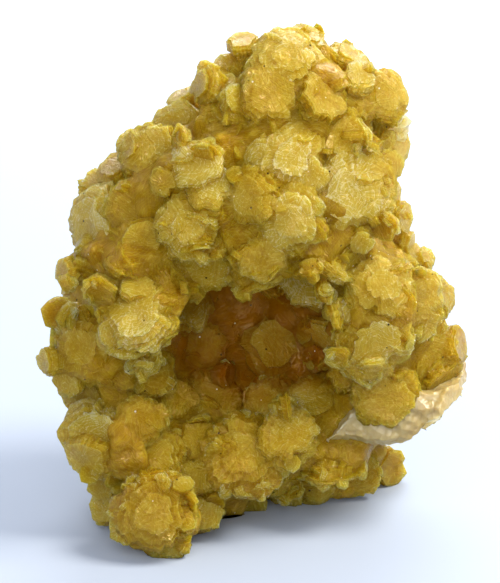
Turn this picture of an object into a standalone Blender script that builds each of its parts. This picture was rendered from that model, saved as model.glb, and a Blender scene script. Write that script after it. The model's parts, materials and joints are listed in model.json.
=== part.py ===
"""A lepidolite specimen: a hand-sized crust of mica books grown together round an
open hollow, with a slab of pale albite matrix through its lower right side.

Run with: blender --background --python part.py
Metres, +Z up.  The specimen stands on its flat underside at Z = 0, with its display
side facing -Y.  All sizes below are in millimetres and are turned to metres by MM.
"""

import math
import random
from collections import namedtuple

import bmesh
import bpy
from mathutils import Matrix, Vector
from mathutils.bvhtree import BVHTree

MM = 0.001

# The display side is laid out as it is seen from in front and a little above: a place
# on it is (across, up), measured square to that sight line, about a point on the
# specimen's upright axis.
SIGHT_TILT = math.radians(20)
SIGHT_DISTANCE = 500
SIGHT_CENTRE = Vector((0, 0, 39.2))
ACROSS = Vector((1, 0, 0))
UP = Vector((0, math.sin(SIGHT_TILT), math.cos(SIGHT_TILT)))
TOWARDS = Vector((0, -math.cos(SIGHT_TILT), math.sin(SIGHT_TILT)))

# The massive inside that the books grow from: rounded lumps as (x, y, z) and radii.
LUMPS = [
    ((6.5, 3, 68.5), (13, 11, 11.5)),  # crown
    ((-3, 2, 62), (10, 11, 9)),  # slope left of the crown
    ((14.5, 4, 57), (8, 11, 14)),  # right shoulder
    ((-9, 1, 57), (12.5, 12, 10)),  # left shoulder
    ((4, -4, 54), (15, 11, 11)),  # brow over the hollow
    ((-18.5, 0, 47), (8, 12, 9)),  # left cheek
    ((-15, -5, 40), (10, 10, 7)),  # left lip of the hollow
    ((-21, 2, 30), (8, 11, 10)),  # left side
    ((-19.5, -2, 15), (7.5, 12, 10)),  # left foot
    ((-14, -8, 6), (9, 10, 8)),  # front foot
    ((-5, 4, 7), (9, 9, 8)),  # middle of the base
    ((20.5, 0, 38), (9, 12, 12)),  # right cheek
    ((21, 4, 24), (10, 12, 12)),  # right side
    ((2, 3, 15), (22, 13, 10)),  # floor of the hollow
    ((-2, 12, 34), (22, 10, 24)),  # back wall of the hollow
    ((9, 12, 6), (15, 9, 8)),  # right rear foot
    ((-15, 10, 7), (9, 8, 9)),  # left rear foot
]
LUMP_VOXEL = 1.6
CORE_FACES = 700
ROUGH_DEPTH = 5.0  # the lumps' skin is broken into cells this deep and this wide
ROUGH_WIDTH = 9.0

# The open hollow in the display side: one scooped ellipsoid, higher on its right.
HOLLOW_CENTRE = (0, -13, 30)
HOLLOW_RADII = (17, 21.5, 14)
HOLLOW_TIP = math.radians(-20)

# The specimen's outline on its display side: rows of (up, left limit, right limit).
OUTLINE = [
    (43, 2, 4),
    (41, -3, 12),
    (37, -7.5, 19),
    (33, -10, 23),
    (29.5, -15.5, 24.5),
    (25.5, -19, 25.5),
    (21.5, -24, 25),
    (18, -24.5, 24),
    (14, -27.5, 25),
    (10, -29.5, 24.5),
    (6.5, -29, 27.5),
    (2.5, -30, 31),
    (-1.5, -30.5, 32.5),
    (-5, -32, 32),
    (-9, -33.5, 34),
    (-13, -33, 34),
    (-16.5, -28.5, 34.5),
    (-20.5, -29.5, 33),
    (-24.5, -30, 26.5),
    (-28, -27, 24.5),
    (-32, -25, 21),
    (-34, -24, 10.5),
    (-36, -23.5, 2.5),
    (-40, -20.5, -5),
    (-43, -16, -13),
]

# Book: where its face stands (across, up), how far that face stands out of the lumps,
# its radius and depth, the way its face looks (degrees to the right and upwards of the
# sight line), its turn about its own axis, the angle its plates fan through, and the
# number of sides of its outline.
Book = namedtuple("Book", "across up out radius deep right rise spin fan sides")

CROWN = [
    Book(6.4, 36.6, 2.3, 5.0, 6.0, 10, 25, 10, 20, 10),
    Book(-4.5, 37.0, 1.8, 3.4, 5.0, 25, 60, 0, 20, 8),
    Book(-1.1, 39.6, 1.2, 2.2, 4.0, -20, 45, 0, 0, 7),
    Book(-6.7, 33.0, 2.0, 2.9, 4.0, -50, 10, 20, 10, 8),
    Book(-10.6, 30.5, 1.6, 2.1, 3.5, -40, 40, 0, 0, 6),
    Book(-12.3, 27.1, 2.0, 3.8, 4.5, -25, 25, 0, 15, 9),
    Book(-1.6, 29.7, 1.8, 2.9, 4.0, 0, 35, 15, 25, 8),
    Book(3.5, 31.4, 1.6, 4.4, 4.5, 5, 5, 0, 10, 10),
    Book(11.2, 30.6, 1.8, 3.3, 4.5, 15, 20, 30, 15, 8),
    Book(16.0, 37.0, 1.8, 3.4, 5.0, 35, 40, 10, 15, 8),
    Book(17.1, 33.2, 2.0, 2.2, 4.0, 30, 50, 0, 20, 8),
    Book(21.6, 31.4, 1.6, 3.7, 4.5, 40, 15, 0, 20, 9),
]
RIGHT_SHOULDER = [
    Book(22.8, 24.2, 1.4, 3.6, 4.5, 62, 0, 0, 15, 9),
    Book(20.3, 26.2, 2.2, 4.0, 5.0, 35, 45, 0, 40, 9),
    Book(14.6, 25.2, 2.0, 3.4, 4.5, -10, 10, 0, 10, 7),
    Book(16.3, 15.8, 2.8, 6.0, 6.0, 5, -5, 0, 20, 11),
    Book(21.8, 20.2, 1.8, 2.2, 3.5, 45, 10, 0, 0, 7),
    Book(22.2, 15.8, 1.8, 2.7, 4.0, 50, 5, 10, 10, 8),
    Book(24.0, 11.9, 1.2, 2.4, 4.0, 65, 0, 0, 0, 7),
    Book(25.1, 7.8, 1.0, 1.7, 3.5, 60, 0, 0, 0, 6),
    Book(17.6, 8.6, 2.6, 1.9, 4.0, 5, -20, 0, 0, 7),
]
BROW = [
    Book(6.4, 20.7, 3.0, 5.5, 6.0, 5, 8, 0, 10, 11),
    Book(0.5, 15.4, 1.8, 3.9, 5.0, -25, -5, 0, 10, 9),
    Book(6.6, 11.8, 2.8, 4.5, 5.5, 0, -12, 15, 10, 10),
    Book(-8.6, 19.8, 2.6, 3.5, 5.0, -5, 10, 0, 0, 7),
    Book(-6.1, 16.2, 2.2, 3.4, 4.5, 10, 30, 0, 10, 8),
    Book(-9.1, 10.5, 2.6, 4.9, 5.5, -8, -10, 0, 15, 10),
    Book(-13.6, 17.4, 1.4, 2.0, 3.5, -15, 0, 0, 0, 6),
    Book(-7.5, 4.1, 1.8, 3.9, 5.0, 5, -30, 0, 15, 8),
    Book(1.9, 5.4, 1.6, 3.3, 4.5, 0, -30, 20, 10, 8),
    Book(9.0, 1.7, 3.0, 5.1, 5.0, 5, -8, 0, 0, 6),
    Book(16.0, 5.4, 1.6, 2.8, 4.0, 30, -20, 0, 25, 8),
]
LEFT_CHEEK = [
    Book(-24.3, 10.6, 2.0, 5.6, 5.5, -48, 0, 0, 10, 11),
    Book(-24.8, 17.0, 1.5, 2.4, 4.0, -30, 40, 0, 10, 7),
    Book(-22.4, 21.0, 1.6, 2.4, 4.0, -40, 15, 0, 0, 8),
    Book(-16.5, 22.6, 1.8, 4.0, 4.5, -15, 15, 0, 15, 9),
    Book(-18.8, 23.2, 1.4, 2.3, 4.0, -35, 35, 0, 0, 7),
    Book(-19.5, 13.4, 0.8, 3.4, 4.0, -10, 0, 0, 0, 8),
    Book(-17.1, 8.6, 1.6, 2.9, 4.0, -5, -10, 0, 10, 8),
    Book(-18.1, -4.2, 3.0, 5.4, 5.5, -5, 15, 0, 10, 10),
    Book(-10.2, -2.6, 2.4, 3.6, 5.0, 5, 5, 0, 20, 8),
    Book(-25.9, -0.2, 1.8, 4.4, 5.0, -30, 10, 0, 10, 10),
    Book(-29.3, 3.0, 1.2, 2.2, 3.5, -60, 0, 0, 0, 7),
    Book(-26.9, -8.6, 1.8, 5.3, 5.5, -15, 0, 0, 10, 11),
    Book(-33.0, -11.3, 1.2, 2.6, 5.0, -50, 0, 0, 0, 7),
    Book(-29.1, -14.6, 1.0, 2.2, 3.5, -20, -20, 0, 0, 7),
]
FOOT = [
    Book(-24.2, -23.1, 2.4, 5.9, 5.5, -10, 5, 0, 10, 12),
    Book(-23.2, -30.8, 1.5, 2.2, 3.5, -35, -10, 0, 0, 6),
    Book(-22.9, -34.5, 1.5, 2.5, 4.0, -40, 0, 0, 0, 7),
    Book(-15.2, -35.3, 2.0, 5.5, 5.5, 0, -5, 0, 10, 10),
    Book(-19.8, -37.7, 1.5, 2.4, 4.0, -20, -10, 0, 0, 7),
    Book(-13.6, -40.4, 1.5, 3.2, 4.0, 0, -10, 0, 0, 7),
    Book(-7.0, -35.3, 1.5, 2.5, 4.0, 15, -5, 0, 0, 7),
    Book(-3.5, -36.6, 1.2, 2.4, 3.5, 20, -10, 0, 0, 6),
    Book(0.0, -34.2, 1.2, 2.4, 3.5, 10, -10, 0, 0, 7),
    Book(5.9, -32.1, 1.0, 2.5, 3.5, 5, -15, 0, 0, 7),
    Book(10.9, -31.4, 1.2, 2.9, 4.0, 5, -15, 0, 0, 8),
    Book(17.6, -29.4, 1.0, 3.1, 4.0, 10, -20, 0, 0, 8),
    Book(22.7, -28.2, 1.0, 2.8, 4.0, 25, -15, 0, 0, 8),
]
RIGHT_CHEEK = [
    Book(20.8, 0.2, 2.4, 4.6, 5.0, 10, 10, 0, 25, 10),
    Book(19.5, -8.0, 2.6, 5.3, 5.5, 5, -10, 0, 25, 11),
    Book(27.2, -1.4, 1.8, 3.8, 4.5, 35, 5, 0, 15, 9),
    Book(27.2, -4.9, 2.0, 2.6, 4.0, 25, -15, 0, 0, 7),
    Book(30.4, -0.6, 1.4, 3.0, 4.0, 40, 10, 0, 0, 10),
    Book(25.6, 5.8, 1.5, 2.0, 3.5, 45, 35, 0, 0, 7),
    Book(27.8, 5.2, 1.2, 1.7, 3.5, 50, 30, 0, 0, 6),
    Book(28.8, -10.6, 1.2, 5.2, 5.0, 25, 0, 0, 0, 10),
    Book(32.8, -8.6, 1.2, 2.8, 4.0, 60, 10, 0, 0, 8),
    Book(21.6, -16.6, 1.4, 4.6, 4.5, 5, -5, 0, 0, 9),
    Book(26.6, -18.2, 1.4, 3.7, 4.5, 15, -10, 0, 0, 7),
]
HOLLOW = [
    Book(9.9, -16.7, 2.2, 3.1, 5.0, -5, 10, 0, 0, 8),
    Book(11.5, -7.0, 2.0, 3.3, 5.0, -10, -15, 0, 20, 8),
    Book(15.2, -12.9, 1.2, 2.5, 4.0, -10, 0, 0, 0, 7),
    Book(4.3, -8.1, 2.4, 5.3, 5.0, 0, 10, 0, 0, 9),
    Book(2.9, -17.8, 1.8, 3.4, 4.5, 0, 15, 0, 0, 9),
    Book(-1.1, -26.2, 2.2, 5.9, 5.5, -3, 10, 0, 10, 11),
    Book(6.1, -23.4, 1.8, 4.2, 5.0, 10, 10, 0, 0, 9),
    Book(-8.0, -29.8, 2.6, 3.9, 5.0, 0, 5, 0, 0, 10),
    Book(-6.4, -17.4, 1.6, 4.6, 4.5, 0, 20, 0, 0, 9),
    Book(-8.0, -8.6, 1.5, 4.0, 4.5, 0, 0, 0, 0, 9),
    Book(-16.0, -12.9, 1.4, 3.5, 4.5, 10, 10, 0, 0, 8),
    Book(-11.8, -17.0, 1.4, 3.0, 4.0, 10, 10, 0, 0, 8),
    Book(-20.3, -12.9, 0.8, 2.6, 3.5, 0, 0, 0, 0, 8),
    Book(-16.0, -26.2, 1.0, 4.6, 4.5, 5, 10, 0, 0, 9),
    Book(-17.6, -20.6, 1.2, 3.4, 4.0, 5, 10, 0, 0, 8),
    Book(-8.0, -23.8, 1.0, 3.0, 4.0, 5, 15, 0, 0, 8),
]
FRONT_BOOKS = CROWN + RIGHT_SHOULDER + BROW + LEFT_CHEEK + FOOT + RIGHT_CHEEK + HOLLOW

# The books on the sides, the back and the gaps follow no plan: they are sown at random
# over the lumps and kept where they don't crowd their neighbours.
SOWING_SEED = 11
SOWN_TRIES = 5000
SOWN_RADIUS = (3.4, 6.4)
SOWN_DEPTH = 4.5
MOST_SOWN_DEPTH = 7
SOWN_OUT = (0.8, 2.2)
SOWN_LEAN = 28
SOWN_SPACING = 1.0
SOWN_INSET = 0.7
LOWEST_SOWN = 3.0

# A book is a stack of rings from its root to its face, as (share of depth, share of radius).
GREAT_BOOK_RINGS = [(0.0, 0.74), (0.62, 1.08), (0.78, 1.0), (0.8, 0.76), (1.0, 0.66)]
BOOK_RINGS = [(0.0, 0.74), (0.66, 1.1), (1.0, 0.84)]
GREAT_BOOK = 4.7
OUTLINE_WOBBLE = 0.09
ROOT_OVERLAP = 1.2

# The matrix: a broken slab, tipped up to the right, in its own axes (length, depth,
# thickness), with its corners knocked off by flat breaks.
SLAB_CENTRE = (23, 4.5, 18)
SLAB_SIZE = (26, 25, 8)
SLAB_TIPS = (math.radians(-6), math.radians(-12), math.radians(-4))
SLAB_BREAKS = [
    ((-12.6, 0, -1.4), (-0.66, -0.1, 0.75)),
    ((4.7, 0, -2.6), (0.42, 0.0, -0.9)),
    ((11, -10, 0), (0.8, -0.6, 0.1)),
    ((11.5, 9, 2), (0.8, 0.6, 0.3)),
    ((-11, 10, -1), (-0.6, 0.8, -0.1)),
    ((0, -12, 3.2), (0.1, -0.75, 0.65)),
    ((-2, -12, -2.5), (-0.15, -0.7, -0.7)),
]
SLAB_GAP = 0.3

MOST_FACES = 9400
GROUND_REACH = 0.15

COLOURS = {
    "mica": (0.52, 0.38, 0.07, 1.0),
    "albite": (0.66, 0.58, 0.42, 1.0),
}


def clear_scene():
    for thing in list(bpy.data.objects):
        bpy.data.objects.remove(thing, do_unlink=True)


def make_collection(name, shown=True):
    made = bpy.data.collections.new(name)
    bpy.context.scene.collection.children.link(made)
    made.hide_render = not shown
    return made


def make_material(name, roughness):
    made = bpy.data.materials.new(name)
    made.use_nodes = True
    shader = made.node_tree.nodes["Principled BSDF"]
    shader.inputs["Base Color"].default_value = COLOURS[name]
    shader.inputs["Roughness"].default_value = roughness
    shader.inputs["Metallic"].default_value = 0.0
    return made


def move_to(thing, collection):
    for old in list(thing.users_collection):
        old.objects.unlink(thing)
    collection.objects.link(thing)
    thing.hide_render = collection.hide_render
    if collection.hide_render:
        thing.display_type = "WIRE"


def ellipsoid(name, centre, radii, collection, tip=0):
    bpy.ops.mesh.primitive_ico_sphere_add(subdivisions=4, radius=MM)
    made = bpy.context.object
    made.name = name
    turn = Matrix.Rotation(tip, 3, "Y").to_quaternion()
    made.data.transform(Matrix.LocRotScale(Vector(centre) * MM, turn, Vector(radii)))
    move_to(made, collection)
    return made


def evaluated_mesh(thing):
    bpy.context.view_layer.update()
    graph = bpy.context.evaluated_depsgraph_get()
    return bpy.data.meshes.new_from_object(thing.evaluated_get(graph))


def make_core(helpers):
    """The lumps melted into one body, with the hollow scooped out of its front."""
    lumps = [
        ellipsoid(f"lump_{i}", centre, radii, helpers)
        for i, (centre, radii) in enumerate(LUMPS)
    ]
    bpy.ops.object.select_all(action="DESELECT")
    for lump in lumps:
        lump.select_set(True)
    bpy.context.view_layer.objects.active = lumps[0]
    bpy.ops.object.join()
    core = bpy.context.object
    core.name = "core"
    melt = core.modifiers.new("melt", "REMESH")
    melt.mode = "VOXEL"
    melt.voxel_size = LUMP_VOXEL * MM
    scoop = core.modifiers.new("scoop", "BOOLEAN")
    scoop.operation = "DIFFERENCE"
    scoop.object = ellipsoid("scoop", HOLLOW_CENTRE, HOLLOW_RADII, helpers, HOLLOW_TIP)
    cells = bpy.data.textures.new("cells", "VORONOI")
    cells.noise_scale = ROUGH_WIDTH * MM
    roughen = core.modifiers.new("roughen", "DISPLACE")
    roughen.texture = cells
    roughen.strength = -ROUGH_DEPTH * MM
    roughen.mid_level = 0.4
    settle = core.modifiers.new("settle", "REMESH")
    settle.mode = "VOXEL"
    settle.voxel_size = LUMP_VOXEL * MM
    core.data = evaluated_mesh(core)
    core.modifiers.clear()
    thin = core.modifiers.new("thin", "DECIMATE")
    thin.ratio = CORE_FACES / len(core.data.polygons)
    core.data = evaluated_mesh(core)
    core.modifiers.clear()
    return core


def surface_of(core):
    """A tree of the core's surface in millimetres, for finding where a book stands."""
    points = [vertex.co / MM for vertex in core.data.vertices]
    faces = [tuple(face.vertices) for face in core.data.polygons]
    return BVHTree.FromPolygons(points, faces)


def seat_on_sight_line(surface, across, up):
    """The point of the core seen at (across, up), or the nearest pass where none is."""
    start = SIGHT_CENTRE + TOWARDS * SIGHT_DISTANCE
    aim = SIGHT_CENTRE + ACROSS * across + UP * up
    along = (aim - start).normalized()
    hit = surface.ray_cast(start, along)[0]
    if hit is not None:
        return hit
    reach = [start + along * (SIGHT_DISTANCE + step) for step in range(-30, 31)]
    return min(reach, key=lambda point: surface.find_nearest(point)[3])


def facing(right, rise):
    """The direction that is so many degrees to the right of and above the sight line."""
    right, rise = math.radians(right), math.radians(rise)
    level = ACROSS * math.sin(right) + TOWARDS * math.cos(right)
    return (level * math.cos(rise) + UP * math.sin(rise)).normalized()


def placed(surface, seat, axis, book):
    """(face centre, axis, book), with its depth grown where its root would miss the core."""
    face = seat + axis * book.out
    root_gap = surface.find_nearest(face - axis * book.deep)
    outside = (face - axis * book.deep - root_gap[0]).dot(root_gap[1]) > 0
    grow = root_gap[3] + ROOT_OVERLAP if outside else 0
    return face, axis, book._replace(deep=book.deep + grow)


def within_outline(face, radius):
    """Whether a book of this radius stays inside the outline from in front."""
    offset = face - SIGHT_CENTRE
    nearness = SIGHT_DISTANCE / (SIGHT_DISTANCE - offset.dot(TOWARDS))
    across, up = offset.dot(ACROSS) * nearness, offset.dot(UP) * nearness
    for level in (up - 0.7 * radius, up, up + 0.7 * radius):
        for (high, *upper), (low, *lower) in zip(OUTLINE, OUTLINE[1:]):
            if low <= level <= high:
                share = (level - low) / (high - low)
                left, right = (l + (u - l) * share for u, l in zip(upper, lower))
                if not left + radius <= across <= right - radius:
                    return False
                break
        else:
            return False
    return True


def front_books(surface):
    for book in FRONT_BOOKS:
        seat = seat_on_sight_line(surface, book.across, book.up)
        yield placed(surface, seat, facing(book.right, book.rise), book)


def sown_books(core, surface, standing, slab):
    """Books scattered over the rest of the surface, clear of those already standing."""
    chance = random.Random(SOWING_SEED)
    faces = [face for face in core.data.polygons]
    areas = [face.area for face in faces]
    kept = list(standing)
    slab_tree = surface_of(slab)
    for _ in range(SOWN_TRIES):
        face = chance.choices(faces, areas)[0]
        corners = [core.data.vertices[i].co / MM for i in face.vertices]
        weights = [chance.random() for _ in corners]
        seat = sum((c * w for c, w in zip(corners, weights)), Vector()) / sum(weights)
        normal = Vector(face.normal)
        radius = chance.uniform(*SOWN_RADIUS) * (1 - 0.3 * chance.random())
        lean = Matrix.Rotation(
            math.radians(chance.uniform(0, SOWN_LEAN)),
            3,
            normal.orthogonal().normalized(),
        )
        turn = Matrix.Rotation(chance.uniform(0, 2 * math.pi), 3, normal)
        axis = (turn @ lean @ normal).normalized()
        out, spin = chance.uniform(*SOWN_OUT), chance.uniform(0, 360)
        fan = chance.choice((0, 10, 25))
        sides = chance.choice((7, 8, 9, 10))
        if seat.z < LOWEST_SOWN or slab_tree.find_nearest(seat)[3] < radius * 0.7:
            continue
        if not within_outline(seat + axis * out, radius * SOWN_INSET):
            continue
        crowd = (
            (seat - other_face).length < SOWN_SPACING * (radius + other.radius)
            for other_face, _, other in kept
        )
        if any(crowd):
            continue
        book = Book(0, 0, out, radius, SOWN_DEPTH, 0, 0, spin, fan, sides)
        found = placed(surface, seat, axis, book)
        if found[2].deep < MOST_SOWN_DEPTH:
            kept.append(found)
    return kept[len(standing) :]


def spread(ring, middle, shares, overall):
    """Moves each corner of a ring in or out from its middle."""
    for corner, share in zip(ring, shares):
        corner.co = middle + (corner.co - middle) * (share * overall)


def make_book(name, face, axis, book, chance, collection):
    """One mica book: a stack of many-sided rings, swelling from root to middle."""
    rings = GREAT_BOOK_RINGS if book.radius >= GREAT_BOOK else BOOK_RINGS
    shape = bmesh.new()
    wobble = [1 + chance.uniform(-1, 1) * OUTLINE_WOBBLE for _ in range(book.sides)]
    ring = bmesh.ops.create_circle(
        shape, cap_ends=True, radius=book.radius, segments=book.sides
    )["verts"]
    rim = shape.edges[:]
    middle = Vector()
    spread(ring, middle, wobble, rings[0][1])
    for (depth, share), (next_depth, next_share) in zip(rings, rings[1:]):
        grown = bmesh.ops.extrude_edge_only(shape, edges=rim)["geom"]
        ring = [g for g in grown if isinstance(g, bmesh.types.BMVert)]
        rim = [g for g in grown if isinstance(g, bmesh.types.BMEdge)]
        rise = (next_depth - depth) * book.deep
        tip = Matrix.Rotation(math.radians(book.fan) * (next_depth - depth), 3, "X")
        for corner in ring:
            corner.co = middle + tip @ (corner.co - middle) * (next_share / share)
            corner.co.z += rise
        middle = middle + Vector((0, 0, rise))
    bmesh.ops.edgeloop_fill(shape, edges=rim)
    bmesh.ops.recalc_face_normals(shape, faces=shape.faces[:])
    mesh = bpy.data.meshes.new(name)
    shape.to_mesh(mesh)
    shape.free()
    turn = Vector((0, 0, 1)).rotation_difference(axis).to_matrix()
    turn = turn @ Matrix.Rotation(math.radians(book.spin), 3, "Z")
    root = face - axis * middle.z
    mesh.transform(Matrix.LocRotScale(root * MM, turn.to_quaternion(), Vector((MM,) * 3)))
    made = bpy.data.objects.new(name, mesh)
    collection.objects.link(made)
    made.hide_render = True
    made.display_type = "WIRE"
    return made


def make_slab(name, grown, collection):
    """The broken slab: a box with flat breaks, each face moved out by grown."""
    bpy.ops.mesh.primitive_cube_add(size=1)
    made = bpy.context.object
    made.name = name
    shape = bmesh.new()
    shape.from_mesh(made.data)
    bmesh.ops.scale(
        shape, vec=[side + 2 * grown for side in SLAB_SIZE], verts=shape.verts[:]
    )
    for point, normal in SLAB_BREAKS:
        normal = Vector(normal).normalized()
        cut = bmesh.ops.bisect_plane(
            shape,
            geom=shape.verts[:] + shape.edges[:] + shape.faces[:],
            plane_co=Vector(point) + normal * grown,
            plane_no=normal,
            clear_outer=True,
        )
        rim = [g for g in cut["geom_cut"] if isinstance(g, bmesh.types.BMEdge)]
        bmesh.ops.edgenet_fill(shape, edges=rim)
    bmesh.ops.recalc_face_normals(shape, faces=shape.faces[:])
    shape.to_mesh(made.data)
    shape.free()
    turn = Matrix.Rotation(SLAB_TIPS[2], 4, "Z")
    turn = turn @ Matrix.Rotation(SLAB_TIPS[1], 4, "Y") @ Matrix.Rotation(SLAB_TIPS[0], 4, "X")
    place = Matrix.Translation(Vector(SLAB_CENTRE) * MM) @ turn @ Matrix.Scale(MM, 4)
    made.data.transform(place)
    move_to(made, collection)
    return made


def keep_largest_body(thing):
    """Drops sealed pockets and chips that the joining leaves loose."""
    shape = bmesh.new()
    shape.from_mesh(thing.data)
    left = set(shape.verts)
    bodies = []
    while left:
        body, edge = set(), {left.pop()}
        while edge:
            vertex = edge.pop()
            body.add(vertex)
            near = {e.other_vert(vertex) for e in vertex.link_edges} & left
            left -= near
            edge |= near
        bodies.append(body)
    bodies.sort(key=len)
    for body in bodies[:-1]:
        bmesh.ops.delete(shape, geom=list(body), context="VERTS")
    bmesh.ops.triangulate(shape, faces=shape.faces[:])
    shape.to_mesh(thing.data)
    shape.free()


def flatten_underside(thing):
    """Puts every corner that is at the ground, or just below it, at exactly Z = 0."""
    for vertex in thing.data.vertices:
        if vertex.co.z < GROUND_REACH * MM:
            vertex.co.z = 0


def centre_on_footprint(pieces):
    """Moves the whole specimen level, so that its box is centred on the Z axis."""
    corners = [vertex.co for piece in pieces for vertex in piece.data.vertices]
    middle = [
        (min(c[axis] for c in corners) + max(c[axis] for c in corners)) / 2
        for axis in (0, 1)
    ]
    for piece in pieces:
        piece.data.transform(Matrix.Translation((-middle[0], -middle[1], 0)))
    print("moved by", [round(-share / MM, 3) for share in middle])


def triangles(mesh):
    return sum(len(face.vertices) - 2 for face in mesh.polygons)


def boolean(thing, operation, other):
    step = thing.modifiers.new(operation.lower(), "BOOLEAN")
    step.operation = operation
    step.solver = "EXACT"
    if isinstance(other, bpy.types.Collection):
        step.operand_type = "COLLECTION"
        step.collection = other
    else:
        step.object = other


def build():
    clear_scene()
    specimen = make_collection("lepidolite_specimen")
    helpers = make_collection("cutters", shown=False)
    books = make_collection("books", shown=False)

    core = make_core(helpers)
    surface = surface_of(core)
    slab = make_slab("albite_matrix", 0, specimen)
    cutter = make_slab("slab_seat", SLAB_GAP, helpers)

    standing = list(front_books(surface))
    standing += sown_books(core, surface, standing, slab)
    chance = random.Random(SOWING_SEED)
    for i, (face, axis, book) in enumerate(standing):
        make_book(f"book_{i}", face, axis, book, chance, books)
    print("books", len(standing), "front", len(FRONT_BOOKS))

    cluster = bpy.data.objects.new("lepidolite_crystals", core.data.copy())
    specimen.objects.link(cluster)
    boolean(cluster, "UNION", books)
    cluster.data = evaluated_mesh(cluster)
    cluster.modifiers.clear()

    ground = ellipsoid("ground", (0, 0, 0), (1, 1, 1), helpers)
    ground.data.clear_geometry()
    shape = bmesh.new()
    bmesh.ops.create_cube(shape, size=1, matrix=Matrix.Translation((0, 0, -0.5)))
    bmesh.ops.scale(shape, vec=(0.4, 0.4, 0.1), verts=shape.verts[:])
    shape.to_mesh(ground.data)
    shape.free()
    boolean(cluster, "DIFFERENCE", ground)
    boolean(cluster, "DIFFERENCE", cutter)
    boolean(slab, "DIFFERENCE", ground)
    cluster.data = evaluated_mesh(cluster)
    cluster.modifiers.clear()
    keep_largest_body(cluster)
    joined = triangles(cluster.data)
    print("joined", joined)
    thin = cluster.modifiers.new("thin", "DECIMATE")
    thin.ratio = min(1, MOST_FACES / joined)
    cluster.data = evaluated_mesh(cluster)
    cluster.modifiers.clear()
    flatten_underside(cluster)
    slab.data = evaluated_mesh(slab)
    slab.modifiers.clear()
    centre_on_footprint([cluster, slab])
    cluster.data.materials.append(make_material("mica", 0.35))
    slab.data.materials.append(make_material("albite", 0.7))


build()
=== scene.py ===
"""Dresses the lepidolite specimen: the cluster of mica books grown together into one
body, its albite matrix, a pale studio floor, the lights and the camera."""

import json
import math
from collections import namedtuple

import bmesh
import bpy
import numpy as np
from mathutils import Matrix, Vector
from mathutils.bvhtree import BVHTree

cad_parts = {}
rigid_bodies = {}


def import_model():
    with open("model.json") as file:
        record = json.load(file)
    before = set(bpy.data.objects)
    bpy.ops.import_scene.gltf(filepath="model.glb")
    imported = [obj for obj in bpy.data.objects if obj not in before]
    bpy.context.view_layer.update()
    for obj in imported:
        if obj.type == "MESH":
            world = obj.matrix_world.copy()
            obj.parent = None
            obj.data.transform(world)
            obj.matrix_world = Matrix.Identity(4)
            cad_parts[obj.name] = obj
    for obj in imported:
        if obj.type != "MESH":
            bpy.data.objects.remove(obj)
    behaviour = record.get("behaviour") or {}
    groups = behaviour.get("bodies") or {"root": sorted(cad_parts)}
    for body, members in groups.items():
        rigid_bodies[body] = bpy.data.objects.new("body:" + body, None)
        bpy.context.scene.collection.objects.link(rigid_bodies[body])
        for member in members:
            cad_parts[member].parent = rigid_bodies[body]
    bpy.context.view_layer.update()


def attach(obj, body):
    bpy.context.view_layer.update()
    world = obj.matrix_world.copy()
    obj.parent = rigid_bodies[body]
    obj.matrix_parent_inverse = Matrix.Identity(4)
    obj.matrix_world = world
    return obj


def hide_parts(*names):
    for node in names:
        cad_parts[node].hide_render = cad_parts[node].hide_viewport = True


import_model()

# ---------------------------------------------------------------------------------
# The mass: the massive mica inside the specimen, which every book grows from.  It is
# rounded lumps melted into one body, broken into cells, with the open hollow scooped
# out of its display side.  Between the books its own scaly skin shows, amber in its own
# colour and painted darker still as painted shade.

# All places are in millimetres, before STAND moves the specimen over its footprint.
MM = 0.001
STAND = Matrix.Translation((-0.000426, -0.002687, 0))

LUMPS = [
    ((6.5, 3, 68.5), (13, 11, 11.5)),  # crown
    ((-3, 2, 62), (10, 11, 9)),  # slope left of the crown
    ((14.5, 4, 57), (8, 11, 14)),  # right shoulder
    ((-9, 1, 57), (12.5, 12, 10)),  # left shoulder
    ((4, -4, 54), (15, 11, 11)),  # brow over the hollow
    ((-18.5, 0, 47), (8, 12, 9)),  # left cheek
    ((-15, -5, 40), (10, 10, 7)),  # left lip of the hollow
    ((-21, 2, 30), (8, 11, 10)),  # left side
    ((-19.5, -2, 15), (7.5, 12, 10)),  # left foot
    ((-14, -8, 6), (9, 10, 8)),  # front foot
    ((-5, 4, 7), (9, 9, 8)),  # middle of the base
    ((20.5, 0, 38), (9, 12, 12)),  # right cheek
    ((21, 4, 24), (10, 12, 12)),  # right side
    ((2, 3, 15), (22, 13, 10)),  # floor of the hollow
    ((-2, 12, 34), (22, 10, 24)),  # back wall of the hollow
    ((9, 12, 6), (15, 9, 8)),  # right rear foot
    ((-15, 10, 7), (9, 8, 9)),  # left rear foot
]
HOLLOW_CENTRE = (0, -13, 30)
HOLLOW_RADII = (17, 21.5, 14)
HOLLOW_TIP = math.radians(-20)
MELT_VOXEL = 1.6
CELL_WIDTH, CELL_DEPTH = 9.0, 5.0
SCALE_WIDTH, SCALE_DEPTH = 3.2, 1.5
SKIN_VOXEL = 0.65


def only(*pieces):
    """Selects these pieces alone, the first of them active."""
    bpy.ops.object.select_all(action="DESELECT")
    for piece in pieces:
        piece.select_set(True)
    bpy.context.view_layer.objects.active = pieces[0]


def ellipsoid(name, centre, radii, tip=0):
    bpy.ops.mesh.primitive_ico_sphere_add(subdivisions=4, radius=MM)
    made = bpy.context.object
    made.name = name
    turn = Matrix.Rotation(tip, 3, "Y").to_quaternion()
    made.data.transform(Matrix.LocRotScale(Vector(centre) * MM, turn, Vector(radii)))
    return made


def finish_step(piece, kind, **settings):
    """Adds one modifier with these settings and applies it."""
    only(piece)
    step = piece.modifiers.new(kind.lower(), kind)
    for name, value in settings.items():
        setattr(step, name, value)
    bpy.ops.object.modifier_apply(modifier=step.name)


def cells(name, width):
    made = bpy.data.textures.new(name, "VORONOI")
    made.noise_scale = width * MM
    return made


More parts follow.
